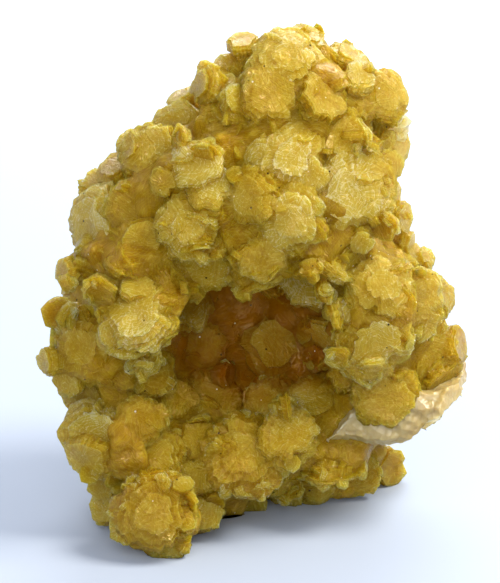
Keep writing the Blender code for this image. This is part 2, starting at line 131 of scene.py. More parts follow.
mass = [ellipsoid(f"lump_{i}", *lump) for i, lump in enumerate(LUMPS)]
only(*mass)
bpy.ops.object.join()
mass = bpy.context.object
mass.name = "lepidolite_cluster"
scoop = ellipsoid("scoop", HOLLOW_CENTRE, HOLLOW_RADII, HOLLOW_TIP)
finish_step(mass, "REMESH", mode="VOXEL", voxel_size=MELT_VOXEL * MM)
finish_step(mass, "BOOLEAN", operation="DIFFERENCE", object=scoop)
finish_step(
    mass, "DISPLACE", texture=cells("cells", CELL_WIDTH),
    strength=-CELL_DEPTH * MM, mid_level=0.4,
)
finish_step(mass, "REMESH", mode="VOXEL", voxel_size=SKIN_VOXEL * MM)
finish_step(
    mass, "DISPLACE", texture=cells("scales", SCALE_WIDTH),
    strength=-SCALE_DEPTH * MM, mid_level=0.2,
)
bpy.data.objects.remove(scoop)


# Every corner of a mica mesh knows where it lies on its own book ("spot", in
# millimetres) and how it looks ("look": how near a plate's rim it is, where a painted
# highlight goes, the book's tone, and how far it stands out of the mass, which sets the
# painted shade of the recesses).  The mass is one great book of low tone that stands out
# nowhere, so it takes the full painted shade.
def note_corners(mesh, spots, looks):
    at = np.empty(len(mesh.loops), int)
    mesh.loops.foreach_get("vertex_index", at)
    for name, values in (("spot", spots), ("look", looks)):
        noted = mesh.attributes.new(name, "FLOAT_VECTOR", "CORNER")
        noted.data.foreach_set("vector", values[at].astype(np.float32).ravel())


skin = np.array([vertex.co for vertex in mass.data.vertices]) / MM
note_corners(mass.data, skin[:, [0, 2, 1]] + [0, -40, 0], np.tile([0.2, 0.3, 0.0], (len(skin), 1)))

# ---------------------------------------------------------------------------------
# Books: lepidolite grows as thick rounded books of mica, split into thin plates that
# step back towards the face.  One stack is extruded plate by plate and copied; each
# copy gets its own broken, wandering plate outlines.

Stack = namedtuple("Stack", "mesh ring side plates sides face_rings")
STEP_BACK = 0.93


def extrude_stack(plates, sides, face_rings=(0.74, 0.48, 0.22)):
    """A stepped stack of round plates, with which ring and side each corner is on."""
    bpy.ops.object.select_all(action="DESELECT")
    bpy.ops.mesh.primitive_circle_add(vertices=sides, radius=1, fill_type="NGON")
    bpy.ops.object.mode_set(mode="EDIT")
    bpy.ops.mesh.select_all(action="SELECT")
    for plate in range(plates + len(face_rings)):
        if plate < plates:
            bpy.ops.mesh.extrude_region_move(TRANSFORM_OT_translate={"value": (0, 0, 1)})
        if plate < plates + len(face_rings) - 1:
            bpy.ops.mesh.extrude_region_move()
            bpy.ops.transform.resize(
                value=(STEP_BACK, STEP_BACK, 1), center_override=(0, 0, plate + 1)
            )
    bpy.ops.mesh.select_all(action="SELECT")
    bpy.ops.mesh.normals_make_consistent(inside=False)
    bpy.ops.object.mode_set(mode="OBJECT")
    made = bpy.context.object
    corners = np.array([vertex.co for vertex in made.data.vertices])
    plate = np.log(np.hypot(corners[:, 0], corners[:, 1])) / math.log(STEP_BACK)
    plate = np.round(plate).astype(int)
    on_top = np.round(corners[:, 2]).astype(int) - plate
    ring = np.where(plate < plates, 2 * plate + on_top, plates + plate)
    turn = np.arctan2(corners[:, 1], corners[:, 0]) / (2 * math.pi) * sides
    mesh = made.data.copy()
    bpy.data.objects.remove(made)
    side = np.round(turn).astype(int) % sides
    return Stack(mesh, ring, side, plates, sides, np.array(face_rings))


GREAT_STACK = extrude_stack(7, 48)
BROAD_STACK = extrude_stack(5, 34)
MIDDLE_STACK = extrude_stack(4, 24)
SMALL_STACK = extrude_stack(3, 14)
PACKET = extrude_stack(3, 12, ())
CHIP = extrude_stack(2, 9, ())

# How a book's plates step back from its widest one to its face: the share of the radius
# that the face keeps, how square its shoulder is, how far each plate crowns, how
# six-sided its outline is, its notches, and how far its plates open like a fan.
Habit = namedtuple("Habit", "face shoulder crown hexagon notches opening fans")
HABITS = {
    "dome": Habit(0.5, 2.4, 0.13, 0.3, 2, 0.15, 0.08),
    "disc": Habit(0.66, 2.6, 0.12, 0.4, 2, 0.3, 0.06),
    "plate": Habit(0.84, 3.2, 0.08, 0.85, 1, 0.15, 0.03),
    "fan": Habit(0.68, 2.5, 0.1, 0.4, 2, 0.8, 0.12),
    "block": Habit(0.88, 4.5, 0.05, 0.7, 2, 0.3, 0.03),
    "chip": Habit(0.82, 2.6, 0.06, 0.5, 1, 0.3, 0.05),
}
WIDEST_AT = 0.2
LOBES, LOBE_SIZE = 6, 0.09
# Most plates sit close on the one below; a few are broken back to a ledge.
LEDGES = 2
CREEP, BREAK = 0.02, 0.06
TEETH = 0.036
WALL, LEDGE_WALL = 0.55, 0.95
# Over this many millimetres out of the mass, the painted shade of the recesses fades to none.
LIFT_SPAN = 3.5


def wander(chance, angle, waves, size):
    """A closed, wandering outline: a few slow waves round the ring."""
    counts = np.arange(2, 2 + waves)[:, None]
    heights = chance.normal(0, 1, (waves, 1)) * size / counts
    return (heights * np.cos(counts * angle + chance.uniform(0, 7, (waves, 1)))).sum(0)


def saw(chance, angle, count):
    """Ridges that run out from the middle, each a slope and a sharp step."""
    starts = np.sort(chance.uniform(0, 2 * math.pi, count))
    past = (angle[:, None] - starts) % (2 * math.pi)
    since = past.min(axis=1)
    width = (np.roll(starts, -1) - starts) % (2 * math.pi)
    return since / width[past.argmin(axis=1)] - 0.5


def plate_outlines(stack, habit, chance):
    """Each plate's reach at each side, as a share of the radius: (plates, sides)."""
    plates, sides = stack.plates, stack.sides
    angle = np.arange(sides) / sides * 2 * math.pi
    share = np.arange(plates) / (plates - 1)
    past = np.clip((share - WIDEST_AT) / (1 - WIDEST_AT), 0, 1)
    keep = (1 - habit.face**habit.shoulder) ** (1 / habit.shoulder)
    step = (1 - (past * keep) ** habit.shoulder) ** (1 / habit.shoulder)
    under = np.clip(share / WIDEST_AT, 0, 1)
    step *= 0.8 + 0.2 * np.sin(under * math.pi / 2)
    turned = (angle + chance.uniform(0, 7)) % (math.pi / 3) - math.pi / 6
    hexagon = math.cos(math.pi / 6) / np.cos(turned) * 1.06
    outline = 1 + habit.hexagon * (hexagon - 1) + wander(chance, angle, LOBES, LOBE_SIZE)
    ledges = chance.choice(np.arange(1, plates), min(LEDGES, plates // 2), replace=False)
    shape = np.empty((plates, sides))
    drift = np.zeros(sides)
    teeth = chance.normal(0, TEETH if sides > 12 else 3 * TEETH, sides)
    for plate in range(plates):
        broken = plate in ledges
        drift = 0.9 * drift + wander(chance, angle, 7, BREAK if broken else CREEP)
        if broken:
            teeth = 0.5 * teeth + chance.normal(0, 0.8 * TEETH, sides)
        ragged = teeth + chance.normal(0, 0.2 * TEETH, sides)
        shape[plate] = step[plate] * (outline + drift + ragged)
    for _ in range(habit.notches):
        start = chance.integers(plates // 3, plates)
        middle, reach = chance.uniform(0, 2 * math.pi), chance.uniform(0.3, 0.9)
        away = np.abs((angle - middle + math.pi) % (2 * math.pi) - math.pi)
        bite = np.clip((reach - away) / 0.12, 0, 1) * chance.uniform(0.1, 0.3)
        shape[start:] *= 1 - bite
    walls = np.full(plates, WALL)
    walls[ledges] = LEDGE_WALL
    walls[0] = 1
    return np.clip(shape, 0.06, 1.15), walls


def book_corners(stack, habit, radius, depth, shown, chance):
    """The corner places of a book in its own axes and millimetres, ring by ring from its
    root to its face, and each ring's height."""
    plates, sides = stack.plates, stack.sides
    angle = np.arange(sides) / sides * 2 * math.pi
    shape, walls = plate_outlines(stack, habit, chance)
    thick = chance.lognormal(0, 0.5, plates)
    thick[0] = 0
    thick *= shown / thick.sum()
    level = depth - shown + np.cumsum(thick)
    height = np.full(2 * plates + len(stack.face_rings), float(depth))
    height[: 2 * plates : 2] = level - thick * walls
    height[1 : 2 * plates : 2] = level
    height[0] = 0
    share = stack.face_rings[:, None]
    face = share * (shape[-1] * share + shape[-1].mean() * (1 - share))
    reach = np.concatenate([np.repeat(shape, 2, axis=0), face]) * radius
    slide = np.cumsum(chance.normal(0, 0.012, (plates, 2)), axis=0) * radius
    slide = np.concatenate([np.repeat(slide, 2, axis=0), np.repeat(slide[-1:], len(face), axis=0)])
    places = np.empty((len(height), sides, 3))
    places[:, :, 0] = reach * np.cos(angle) + slide[:, :1]
    places[:, :, 1] = reach * np.sin(angle) + slide[:, 1:]
    hinge, fold, ripple = chance.uniform(0, 2 * math.pi, 3)
    along = (places[:, :, 0] * math.cos(hinge) + places[:, :, 1] * math.sin(hinge)) / radius
    above = np.clip((height - depth + shown) / shown, 0, 1)[:, None]
    bowl = (reach / radius) ** 2 * radius
    bend = -habit.crown + 0.05 * np.cos(2 * angle + fold) + 0.03 * np.cos(3 * angle + ripple)
    bend = bend + habit.fans * saw(chance, angle, stack.sides // 6 + 1)
    places[:, :, 2] = height[:, None] + above * (shown * habit.opening * along + bowl * bend)
    return places, height, walls


def make_book(stack, habit, radius, depth, shown, face, axis, seat, normal, tone, chance):
    """One book in the specimen: its face at this place, looking along axis, grown on the
    mass's skin at seat."""
    mesh = stack.mesh.copy()
    places, height, walls = book_corners(stack, habit, radius, depth, shown, chance)
    corners = places[stack.ring, stack.side]
    turn = Vector((0, 0, 1)).rotation_difference(axis).to_matrix()
    turn = turn @ Matrix.Rotation(chance.uniform(0, 2 * math.pi), 3, "Z")
    standing = corners @ np.array(turn).T + np.array(face - axis * depth)
    mesh.vertices.foreach_set("co", (standing * MM).astype(np.float32).ravel())
    spots = corners + [0, 0, 40 * chance.uniform()]
    # How near each ring lies to a plate's rim, where a painted highlight goes.
    rim = np.zeros(len(height))
    rim[1 : 2 * stack.plates : 2] = walls
    rim[2 * stack.plates - 1 :] = (0.6, 0.4, 0.25, 0.15)[: len(stack.face_rings) + 1]
    # How far each corner stands out of its seat: it sets the painted shade, darker amber low in the
    # recesses.
    lift = np.clip((standing - np.array(seat)) @ np.array(normal) / LIFT_SPAN, 0, 1)
    looks = np.stack([rim[stack.ring], np.full(len(lift), tone), lift], axis=1)
    note_corners(mesh, spots, looks)
    return mesh


# The display side is laid out as it is seen from in front and 20 degrees above: a place
# on it is (across, up), square to that sight line.
SIGHT_TILT = math.radians(20)
SIGHT_DISTANCE = 500
SIGHT_CENTRE = Vector((0, 0, 39.2))
ACROSS = Vector((1, 0, 0))
UP = Vector((0, math.sin(SIGHT_TILT), math.cos(SIGHT_TILT)))
TOWARDS = Vector((0, -math.cos(SIGHT_TILT), math.sin(SIGHT_TILT)))

# One book: where its face stands (across, up), how far the face stands out of the mass,
# its radius and depth, the way it faces (degrees right of and above the sight line), its
# habit, its tone from 0, amber, to 1, pale straw, and how many side books cling to it.
Book = namedtuple("Book", "across up out radius deep right rise habit tone side_books")

CROWN = [
    Book(6.4, 36.6, 2.3, 5.0, 6.0, 10, 25, "dome", 0.8, 3),
    Book(-3.4, 35.6, 1.2, 2.2, 5.0, 0, 45, "disc", 0.6, 1),
    Book(-1.1, 39.8, 1.0, 2.2, 4.0, -20, 55, "plate", 0.9, 1),
    Book(3.2, 39.6, 0.8, 1.6, 4.0, -10, 30, "block", 1.0, 0),
    Book(9.0, 40.4, 1.4, 2.8, 4.0, 15, 60, "disc", 0.8, 1),
    Book(-6.7, 33.0, 2.0, 2.9, 4.0, -50, 10, "disc", 0.5, 1),
    Book(-10.6, 30.5, 1.6, 2.1, 3.5, -40, 40, "block", 0.8, 1),
    Book(-12.0, 26.6, 1.6, 3.6, 4.5, -25, 25, "disc", 0.7, 2),
    Book(-1.6, 29.7, 1.8, 2.9, 4.0, 0, 35, "fan", 0.6, 1),
    Book(3.5, 31.4, 1.6, 4.4, 4.5, 5, 5, "disc", 0.35, 2),
    Book(11.2, 30.6, 1.8, 3.3, 4.5, 15, 20, "block", 0.45, 2),
    Book(16.0, 37.0, 1.8, 3.4, 5.0, 35, 40, "disc", 0.8, 2),
    Book(17.1, 33.2, 2.0, 2.2, 4.0, 30, 50, "block", 1.0, 1),
    Book(21.6, 31.4, 1.6, 3.7, 4.5, 40, 15, "disc", 0.75, 1),
]
RIGHT_SHOULDER = [
    Book(22.8, 24.2, 1.4, 3.6, 4.5, 62, 0, "disc", 0.4, 1),
    # Its tone of 2, past pale straw, is a painted highlight: the fan is painted near white where
    # the light blows it out.
    Book(20.3, 26.2, 2.4, 4.0, 5.0, 30, 40, "fan", 2.0, 3),
    Book(14.6, 25.2, 2.0, 3.4, 4.5, -10, 10, "plate", 0.5, 1),
    Book(16.3, 15.8, 2.8, 6.0, 6.0, 5, -5, "disc", 1.2, 3),
    Book(21.8, 20.2, 1.8, 2.2, 3.5, 45, 10, "plate", 0.6, 1),
    Book(22.2, 15.8, 1.8, 2.7, 4.0, 50, 5, "disc", 0.7, 1),
    Book(24.0, 11.9, 1.2, 2.4, 4.0, 65, 0, "plate", 1.0, 1),
    Book(25.1, 7.8, 1.0, 1.7, 3.5, 60, 0, "block", 1.0, 0),
    Book(17.6, 8.6, 2.6, 1.9, 4.0, 5, -20, "plate", 0.8, 1),
]
BROW = [
    Book(6.4, 20.7, 3.0, 5.5, 6.0, 5, 8, "dome", 1.0, 3),
    Book(0.5, 15.4, 1.8, 3.9, 5.0, -25, -5, "disc", 0.55, 2),
    Book(6.6, 11.8, 2.8, 4.5, 5.5, 0, -12, "dome", 0.85, 3),
    Book(-8.6, 19.8, 2.6, 3.5, 5.0, -5, 10, "plate", 1.0, 1),
    Book(-6.1, 16.2, 2.2, 3.4, 4.5, 10, 30, "disc", 0.9, 2),
    Book(-9.1, 10.5, 2.6, 4.9, 5.5, -8, -10, "dome", 0.8, 3),
    Book(-13.6, 17.4, 1.4, 2.0, 3.5, -15, 0, "plate", 0.4, 1),
    Book(-7.5, 4.1, 1.8, 3.9, 5.0, 5, -30, "block", 0.55, 2),
    Book(1.9, 5.4, 1.6, 3.3, 4.5, 0, -30, "plate", 0.4, 2),
    Book(9.2, 1.6, 4.0, 4.0, 5.0, 0, 8, "plate", 1.1, 0),
    Book(16.0, 5.4, 1.6, 2.8, 4.0, 30, -20, "fan", 0.55, 1),
]
LEFT_CHEEK = [
    Book(-24.3, 10.6, 2.2, 5.6, 5.5, -40, 0, "disc", 1.2, 2),
    Book(-24.8, 17.0, 1.5, 2.4, 4.0, -30, 40, "disc", 0.7, 1),
    Book(-21.8, 19.6, 1.2, 2.8, 4.0, -40, 30, "disc", 0.4, 1),
    Book(-16.5, 22.6, 1.8, 4.0, 4.5, -15, 15, "disc", 0.5, 2),
    Book(-18.8, 23.2, 1.4, 2.3, 4.0, -35, 35, "plate", 0.6, 1),
    Book(-19.5, 13.4, 0.8, 3.4, 4.0, -10, 0, "disc", 0.25, 1),
    Book(-17.1, 8.6, 1.6, 2.9, 4.0, -5, -10, "plate", 0.45, 1),
    Book(-18.1, -3.4, 3.0, 5.2, 5.5, -5, 10, "fan", 0.8, 3),
    Book(-10.2, -2.6, 2.4, 3.6, 5.0, 5, 5, "fan", 0.6, 2),
    Book(-25.9, -0.2, 1.8, 4.4, 5.0, -30, 10, "disc", 0.35, 2),
    Book(-29.3, 3.0, 1.2, 2.2, 3.5, -60, 0, "plate", 0.9, 1),
    Book(-26.9, -8.6, 1.8, 5.3, 5.5, -15, 0, "dome", 0.4, 2),
    Book(-32.2, -11.3, 1.2, 2.0, 5.0, -60, 0, "plate", 1.0, 1),
    Book(-26.6, -16.6, 1.0, 3.2, 4.5, -20, -10, "disc", 0.4, 1),
    Book(-29.1, -14.6, 1.0, 2.2, 3.5, -20, -20, "plate", 1.0, 1),
]
FOOT = [
    Book(-23.4, -23.5, 2.4, 5.6, 5.5, -8, 5, "fan", 1.0, 4),
    Book(-23.2, -30.8, 1.5, 2.2, 3.5, -35, -10, "block", 0.6, 1),
    Book(-22.9, -34.5, 1.5, 2.5, 4.0, -40, 0, "plate", 0.9, 1),
    # Its low tone is painted shade: this book low on the front is painted darker.
    Book(-15.2, -35.3, 1.8, 5.5, 5.5, 0, -5, "dome", 0.1, 3),
    Book(-19.8, -37.7, 1.5, 2.4, 4.0, -20, -10, "plate", 0.9, 1),
    Book(-13.6, -40.4, 1.5, 3.2, 4.0, 0, -10, "plate", 0.8, 2),
    Book(-7.0, -35.3, 1.5, 2.5, 4.0, 15, -5, "plate", 0.8, 1),
    Book(-3.5, -36.6, 1.2, 2.4, 3.5, 20, -10, "block", 1.0, 2),
    Book(0.0, -34.2, 1.2, 2.4, 3.5, 10, -10, "block", 0.9, 1),
    Book(5.9, -32.1, 1.0, 2.5, 3.5, 5, -15, "block", 0.8, 1),
    Book(10.9, -31.4, 1.2, 2.9, 4.0, 5, -15, "disc", 0.6, 1),
    Book(17.6, -29.4, 1.0, 3.1, 4.0, 10, -20, "block", 0.6, 1),
    Book(22.7, -28.2, 1.0, 2.8, 4.0, 25, -15, "block", 0.5, 1),
]
RIGHT_CHEEK = [
    Book(20.8, 0.2, 2.4, 4.6, 5.0, 10, 10, "dome", 0.75, 3),
    Book(19.5, -8.0, 2.6, 5.3, 5.5, 5, -10, "disc", 0.7, 3),
    Book(27.2, -1.4, 1.8, 3.8, 4.5, 35, 5, "disc", 0.6, 2),
    Book(27.2, -4.9, 2.0, 2.6, 4.0, 25, -15, "plate", 0.6, 1),
    Book(30.4, -0.6, 1.4, 3.0, 4.0, 40, 10, "disc", 0.85, 1),
    Book(25.6, 5.8, 1.5, 2.0, 3.5, 45, 35, "plate", 0.8, 1),
    Book(27.8, 5.2, 1.2, 1.7, 3.5, 50, 30, "plate", 1.0, 1),
    Book(28.8, -10.6, 1.2, 5.2, 5.0, 25, 0, "disc", 0.3, 1),
    Book(32.8, -8.6, 1.2, 2.8, 4.0, 60, 10, "plate", 0.5, 1),
    Book(21.6, -16.6, 1.4, 4.6, 4.5, 5, -5, "disc", 0.5, 1),
    Book(26.6, -18.2, 1.4, 3.7, 4.5, 15, -10, "plate", 0.6, 1),
]
# The books in the hollow have low tones: painted shade, darker amber where the hollow lies in
# shade.
HOLLOW = [
    Book(9.9, -16.7, 2.2, 3.1, 5.0, -5, 10, "fan", 0.6, 1),
    Book(11.5, -7.0, 2.0, 3.3, 5.0, -10, -15, "fan", 0.45, 1),
    Book(15.2, -12.9, 1.2, 2.5, 4.0, -10, 0, "plate", 0.3, 1),
    Book(4.3, -8.1, 2.4, 5.3, 5.0, 0, 10, "disc", 0.2, 1),
    Book(2.9, -17.8, 1.8, 3.4, 4.5, 0, 15, "disc", 0.35, 1),
    Book(-1.1, -26.2, 2.2, 5.9, 5.5, -3, 10, "dome", 0.2, 3),
    Book(6.1, -23.4, 1.8, 4.2, 5.0, 10, 10, "disc", 0.6, 2),
    Book(-8.0, -29.8, 2.6, 3.9, 5.0, 0, 5, "disc", 0.35, 1),
    Book(-6.4, -17.4, 1.6, 4.6, 4.5, 0, 20, "disc", 0.3, 2),
    Book(-8.0, -8.6, 1.5, 4.0, 4.5, 0, 0, "disc", 0.0, 1),
    Book(-16.0, -12.9, 1.4, 3.5, 4.5, 10, 10, "disc", 0.1, 1),
    Book(-11.8, -17.0, 1.4, 3.0, 4.0, 10, 10, "plate", 0.15, 1),
    Book(-20.3, -12.9, 0.8, 2.6, 3.5, 0, 0, "disc", 0.05, 1),
    Book(-16.0, -26.2, 1.0, 4.6, 4.5, 5, 10, "disc", 0.3, 2),
    Book(-17.6, -20.6, 1.2, 3.4, 4.0, 5, 10, "disc", 0.2, 2),
    Book(-8.0, -23.8, 1.0, 3.0, 4.0, 5, 15, "plate", 0.3, 1),
]

# The outline of the display side: rows of (up, left limit, right limit).
OUTLINE = np.array([
    (43, 2, 4), (41, -3, 12), (37, -7.5, 19), (33, -10, 23), (29.5, -15.5, 24.5),
    (25.5, -19, 25.5), (21.5, -24, 25), (18, -24.5, 24), (14, -27.5, 25),
    (10, -29.5, 24.5), (6.5, -29, 27.5), (2.5, -30, 31), (-1.5, -30.5, 32.5),
    (-5, -32, 32), (-9, -33.5, 34), (-13, -33, 34), (-16.5, -28.5, 34.5),
    (-20.5, -29.5, 33), (-24.5, -30, 26.5), (-28, -27, 24.5), (-32, -25, 21),
    (-34, -24, 10.5), (-36, -23.5, 2.5), (-40, -20.5, -5), (-43, -16, -13),
])[::-1]
ROOT_OVERLAP = 1.2
SPREAD = 1.22
KEPT_CLEAR = 1.3
# From here back the books are plainer and stand further apart.
REAR_FROM = 6
chance = np.random.default_rng(7)


def surface_of(piece):
    """The piece's surface in millimetres, ready for rays and nearest points."""
    points = [vertex.co / MM for vertex in piece.data.vertices]
    return BVHTree.FromPolygons(points, [face.vertices[:] for face in piece.data.polygons])


skin = surface_of(mass)


def seat_on_sight_line(across, up):
    """The point of the mass seen at (across, up), or the nearest pass where none is."""
    start = SIGHT_CENTRE + TOWARDS * SIGHT_DISTANCE
    aim = SIGHT_CENTRE + ACROSS * across + UP * up
    along = (aim - start).normalized()
    hit = skin.ray_cast(start, along)[0]
    if hit is not None:
        return hit
    reach = [start + along * (SIGHT_DISTANCE + step) for step in range(-30, 31)]
    return min(reach, key=lambda point: skin.find_nearest(point)[3])


def facing(right, rise):
    """The direction that is so many degrees to the right of and above the sight line."""
    right, rise = math.radians(right), math.radians(rise)
    level = ACROSS * math.sin(right) + TOWARDS * math.cos(right)
    return (level * math.cos(rise) + UP * math.sin(rise)).normalized()


def rooted_depth(face, axis, depth):
    """The depth that takes a book's root into the mass."""
    root = face - axis * depth
    near, normal, _, away = skin.find_nearest(root)
    return depth + away + ROOT_OVERLAP if (root - near).dot(normal) > 0 else depth


def stack_for(radius, in_front):
    if radius > 3.6:
        return GREAT_STACK if in_front else BROAD_STACK
    if radius > 2.6 and in_front:
        return BROAD_STACK
    return MIDDLE_STACK if radius > 1.8 else SMALL_STACK


def stand_book(kept, face, axis, radius, depth, out, habit, tone):
    depth = rooted_depth(face, axis, depth)
    stack = stack_for(radius, face.y < REAR_FROM)
    shown = min(depth - 0.4, out + 0.3 * radius)
    kept.append(
        make_book(
            stack, HABITS[habit], radius, depth, shown, face, axis, face - axis * out,
            axis, tone, chance,
        )
    )


def leaning(axis, angle, turn):
    """The axis leant over by an angle, and the side that it leans to."""
    side = Matrix.Rotation(turn, 3, axis) @ axis.orthogonal().normalized()
    return (axis * math.cos(angle) + side * math.sin(angle)).normalized(), side


def stand_packet(kept, seat, normal, radius, shows, tone):
    """A plain angular packet of plates leaning any way, most of it sunk in the mass, and
    sometimes a second one that opens from it like a page."""
    tilt = math.radians(chance.uniform(30, 85))
    axis, side = leaning(normal, tilt, chance.uniform(0, 7))
    thick = chance.uniform(0.45, 0.9) * radius
    base = seat + normal * (shows - radius * math.sin(tilt) - thick * math.cos(tilt))
    stack = PACKET if radius > 2.2 else CHIP
    foot = seat - normal * skin.find_nearest(seat)[3]
    for page in range(chance.integers(1, 3)):
        face = base + axis * thick
        kept.append(
            make_book(
                stack, HABITS["chip"], radius, thick, 0.85 * thick, face, axis, foot, normal,
                tone, chance,
            )
        )
        axis, _ = leaning(axis, math.radians(chance.uniform(12, 40)), chance.uniform(0, 7))
        base = face - axis * thick * 0.6 + side * radius * chance.uniform(-0.4, 0.4)
        radius, thick, stack = 0.7 * radius, 0.6 * thick, CHIP


def grow(kept, face, axis, radius, depth, out, habit, tone, side_books):
    """One book, the smaller books that cling round its rim and the chips between them."""
    stand_book(kept, face, axis, radius, depth, out, habit, tone)
    chips = max(0, int(0.9 * radius - 1.2))
    for i in range(chips):
        lean, side = leaning(
            axis, math.radians(chance.uniform(20, 50)), 2 * math.pi * (i + chance.uniform()) / chips
        )
        small = radius * chance.uniform(0.25, 0.42)
        thick = small * chance.uniform(0.4, 0.7)
        place = face + side * radius * chance.uniform(0.6, 0.85)
        place -= axis * radius * chance.uniform(0.36, 0.6)
        kept.append(
            make_book(
                CHIP, HABITS["chip"], small, thick, 0.85 * thick, place, lean,
                face - axis * out, axis, tone, chance,
            )
        )
    first = chance.uniform(0, 2 * math.pi)
    for i in range(side_books):
        lean, side = leaning(
            axis,
            math.radians(chance.uniform(15, 45)),
            first + (i + chance.uniform(-0.2, 0.2)) * 2 * math.pi / side_books,
        )
        small = radius * chance.uniform(0.42, 0.65)
        sunk = radius * chance.uniform(0.12, 0.32)
        place = face + side * radius * chance.uniform(0.55, 0.8) - axis * sunk
        own = chance.choice(["disc", "plate", "fan", "plate"])
        near = max(0, tone + chance.uniform(-0.15, 0.15))
        stand_book(kept, place, lean, small, depth * 0.8, 0.6 * out, own, near)


class Crowd:
    """The places already taken, each with how far it reaches."""

    def __init__(self):
        self.places, self.reaches = [], []

    def add(self, place, reach):
        self.places.append(tuple(place))
        self.reaches.append(reach)

    def clear_at(self, place, reach, spacing):
        away = np.linalg.norm(np.array(self.places) - np.array(place), axis=1)
        return (away > spacing * (reach + np.array(self.reaches))).all()


crowd = Crowd()
books = []
for book in CROWN + RIGHT_SHOULDER + BROW + LEFT_CHEEK + RIGHT_CHEEK + HOLLOW + FOOT:
    axis = facing(book.right, book.rise)
    face = seat_on_sight_line(book.across, book.up) + axis * book.out
    grow(
        books, face, axis, SPREAD * book.radius, book.deep, book.out, book.habit, book.tone,
        book.side_books,
    )
    crowd.add(face, KEPT_CLEAR * SPREAD * book.radius)

# The books on the sides, the back and in the gaps follow no plan: they are sown at
# random, large ones first and small ones between, where they don't crowd the others.
Sowing = namedtuple("Sowing", "tries radius out spacing")
SOWN_BOOKS = Sowing(4000, (3.6, 6.0), (0.3, 1.4), 0.8)
SOWN_DEPTH, SOWN_LEAN, SOWN_SIDE_BOOKS = 4.0, 28, 2
SOWN_PACKETS = [
    Sowing(12000, (1.7, 3.2), (0.2, 0.9), 0.56),
    Sowing(12000, (0.9, 1.6), (0.2, 0.6), 0.56),
]
REAR_SPACING = 1.25
MOST_TRIANGLES = 190000
REAR_THINNED = 0.75
LOWEST_SOWN = 2.0


def seen_at(place):
    """Where a place is seen on the display side: (across, up)."""
    offset = place - SIGHT_CENTRE
    nearness = SIGHT_DISTANCE / (SIGHT_DISTANCE - offset.dot(TOWARDS))
    return offset.dot(ACROSS) * nearness, offset.dot(UP) * nearness


def outline_room(place):
    """How far a place is inside the outline of the display side."""
    across, up = seen_at(place)
    left = np.interp(up, OUTLINE[:, 0], OUTLINE[:, 1])
    right = np.interp(up, OUTLINE[:, 0], OUTLINE[:, 2])
    return min(across - left, right - across, 43 - up, up + 43)


def over_slab(place, radius):
    """Whether a book here would hide the slab's broken edge."""
    across, up = seen_at(place)
    return 11 - radius < across < 36 and -29 < up < -17 + 0.16 * (across - 11) + radius


def may_grow_at(place, radius, spacing):
    """Whether a book here keeps clear of the floor, the outline, the slab and the others."""
    if place.z < LOWEST_SOWN or outline_room(place) < 0.9 * radius:
        return False
    return not over_slab(place, 0.6 * radius) and crowd.clear_at(place, radius, spacing)


def read_all(items, name, width=1, kind=np.int32):
    values = np.empty(len(items) * width, kind)
    items.foreach_get(name, values)
    return values.reshape(-1, width) if width > 1 else values


def put_in_order(mesh):
    """Rebuilds a mesh with its points and faces sorted by place.  A join leaves them in
    another order each time, and the random places and the thinning follow that order."""
    places = read_all(mesh.vertices, "co", 3, np.float32)
    points = read_all(mesh.loops, "vertex_index")
    starts = read_all(mesh.polygons, "loop_start")
    sizes = read_all(mesh.polygons, "loop_total")
    noted = {
        name: read_all(mesh.attributes[name].data, "vector", 3, np.float32)
        for name in ("spot", "look")
    }
    following = np.arange(1, len(points) + 1)
    following[starts + sizes - 1] = starts
    neighbour = np.full(places.shape, -np.inf, np.float32)
    np.maximum.at(neighbour, points, places[points[following]])
    by_place = np.lexsort(np.hstack([neighbour, places]).T)
    rank = np.empty(len(places), np.int32)
    rank[by_place] = np.arange(len(places))
    points = rank[points]
    face = np.repeat(np.arange(len(starts)), sizes)
    lowest = np.minimum.reduceat(points, starts)
    step = np.arange(len(points)) - starts[face]
    step = (step - step[points == lowest[face]][face]) % sizes[face]
    by_start = np.lexsort([points[step == 2], points[step == 1], lowest])
    turn = np.empty(len(starts), np.int32)
    turn[by_start] = np.arange(len(starts))
    corners = np.lexsort([step, turn[face]])
    sizes = sizes[by_start]
    mesh.clear_geometry()
    mesh.vertices.add(len(places))
    mesh.vertices.foreach_set("co", places[by_place].ravel())
    mesh.loops.add(len(points))
    mesh.loops.foreach_set("vertex_index", points[corners])
    mesh.polygons.add(len(starts))
    mesh.polygons.foreach_set("loop_start", (np.cumsum(sizes) - sizes).astype(np.int32))
    mesh.update(calc_edges=True)
    for name, values in noted.items():
        kept = mesh.attributes.new(name, "FLOAT_VECTOR", "CORNER")
        kept.data.foreach_set("vector", values[corners].ravel())


def fuse(piece, meshes):
    """Grows these books into the piece: one body, with nothing left inside it."""
    others = bpy.data.collections.new("books")
    bpy.context.scene.collection.children.link(others)
    for i, mesh in enumerate(meshes):
        others.objects.link(bpy.data.objects.new(f"book_{i}", mesh))
    finish_step(
        piece, "BOOLEAN", operation="UNION", solver="MANIFOLD",
        operand_type="COLLECTION", collection=others,
    )
    for book in list(others.objects):
        bpy.data.objects.remove(book)
    bpy.data.collections.remove(others)
    put_in_order(piece.data)


def picked_faces(piece, tries):
    """Random places on the piece, each as its point in millimetres and its normal."""
    faces = piece.data.polygons
    areas = np.empty(len(faces))
    faces.foreach_get("area", areas)
    for pick in chance.choice(len(faces), tries, p=areas / areas.sum()):
        yield faces[pick].center / MM, faces[pick].normal.copy()


